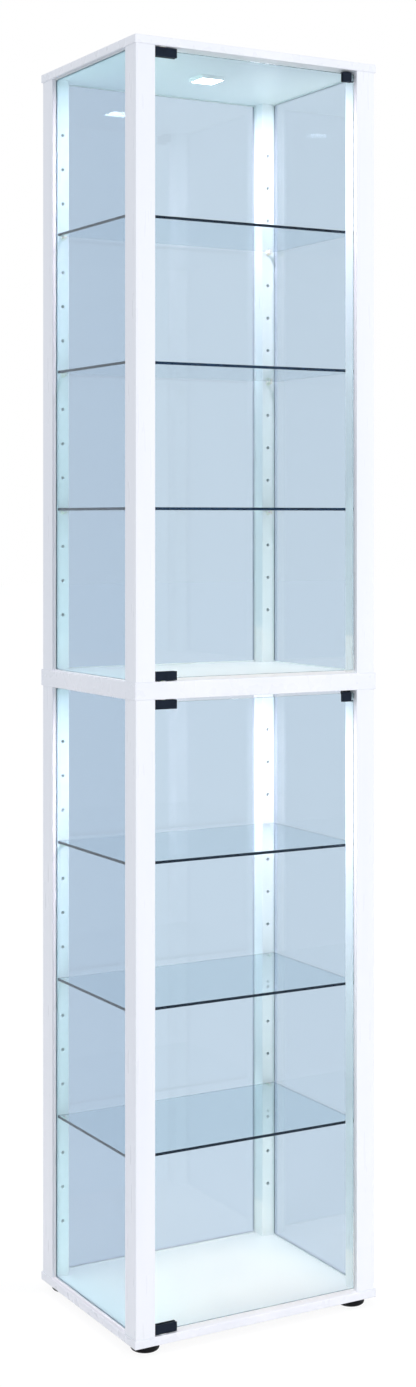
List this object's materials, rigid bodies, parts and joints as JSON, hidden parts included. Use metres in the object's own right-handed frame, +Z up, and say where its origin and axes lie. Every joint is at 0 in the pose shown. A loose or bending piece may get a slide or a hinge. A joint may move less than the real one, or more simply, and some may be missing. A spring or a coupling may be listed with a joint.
{
  "type": "display case",
  "caption": "Tall narrow glazed display case: white laminated panels and square corner posts, clear sides and back, frameless pivoting glass doors, glass shelves and ceiling lamps.",
  "frame": {"origin": "centre of the case's footprint, on the floor under the feet", "axes": "+Z up, +Y to the back, +X to the right seen from the front; the doors face -Y"},
  "size_m": [0.39, 0.3, 1.781],
  "materials": {
    "white_laminate": "satin",
    "clear_glass": "polished",
    "nickelled_steel": "polished",
    "black_coated_metal": "satin",
    "liner_rubber": "matte",
    "nylon": "matte",
    "black_plastic": "matte",
    "lamp_housing": "satin",
    "lamp_diffuser": "matte",
    "beech": "matte",
    "magnet_steel": "satin",
    "zinc_steel": "satin"
  },
  "bodies": {
    "case": {"top_panel": "white_laminate", "middle_panel": "white_laminate", "bottom_panel": "white_laminate", "upper_post_front_left": "white_laminate", "upper_post_front_right": "white_laminate", "upper_post_rear_left": "white_laminate", "upper_post_rear_right": "white_laminate", "lower_post_front_left": "white_laminate", "lower_post_front_right": "white_laminate", "lower_post_rear_left": "white_laminate", "lower_post_rear_right": "white_laminate", "upper_side_pane_left": "clear_glass", "upper_side_pane_right": "clear_glass", "upper_back_pane": "clear_glass", "lower_side_pane_left": "clear_glass", "lower_side_pane_right": "clear_glass", "lower_back_pane": "clear_glass", "upper_shelf_top": "clear_glass", "upper_shelf_middle": "clear_glass", "upper_shelf_low": "clear_glass", "upper_shelf_pins": "nickelled_steel", "lower_shelf_top": "clear_glass", "lower_shelf_middle": "clear_glass", "lower_shelf_low": "clear_glass", "lower_shelf_pins": "nickelled_steel", "upper_door_bushes": "nylon", "upper_catch": "black_plastic", "upper_catch_magnet": "magnet_steel", "lower_door_bushes": "nylon", "lower_catch": "black_plastic", "lower_catch_magnet": "magnet_steel", "catch_screws": "zinc_steel", "upper_lamp": "lamp_housing", "upper_lamp_lens": "lamp_diffuser", "lower_lamp": "lamp_housing", "lower_lamp_lens": "lamp_diffuser", "foot_front_left": "black_plastic", "foot_front_right": "black_plastic", "foot_rear_left": "black_plastic", "foot_rear_right": "black_plastic", "foot_screws": "zinc_steel", "corner_dowels": "beech", "top_screws": "zinc_steel", "bottom_screws": "zinc_steel", "middle_studs": "zinc_steel"},
    "upper_door": {"upper_door_pane": "clear_glass", "upper_door_clip_top": "black_coated_metal", "upper_door_clip_low": "black_coated_metal", "upper_door_liners": "liner_rubber", "upper_door_clamp_screws": "zinc_steel", "upper_door_pivots": "zinc_steel", "upper_door_strike": "black_coated_metal"},
    "lower_door": {"lower_door_pane": "clear_glass", "lower_door_clip_top": "black_coated_metal", "lower_door_clip_low": "black_coated_metal", "lower_door_liners": "liner_rubber", "lower_door_clamp_screws": "zinc_steel", "lower_door_pivots": "zinc_steel", "lower_door_strike": "black_coated_metal"}
  },
  "joints": [
    {"name": "upper_door_hinge", "type": "hinge", "parent": "case", "child": "upper_door", "pos_m": [-0.1495, -0.141, 1.3385], "axis": [0, 0, -1], "range_deg": [0, 110]},
    {"name": "lower_door_hinge", "type": "hinge", "parent": "case", "child": "lower_door", "pos_m": [-0.1495, -0.141, 0.4535], "axis": [0, 0, -1], "range_deg": [0, 110]}
  ]
}
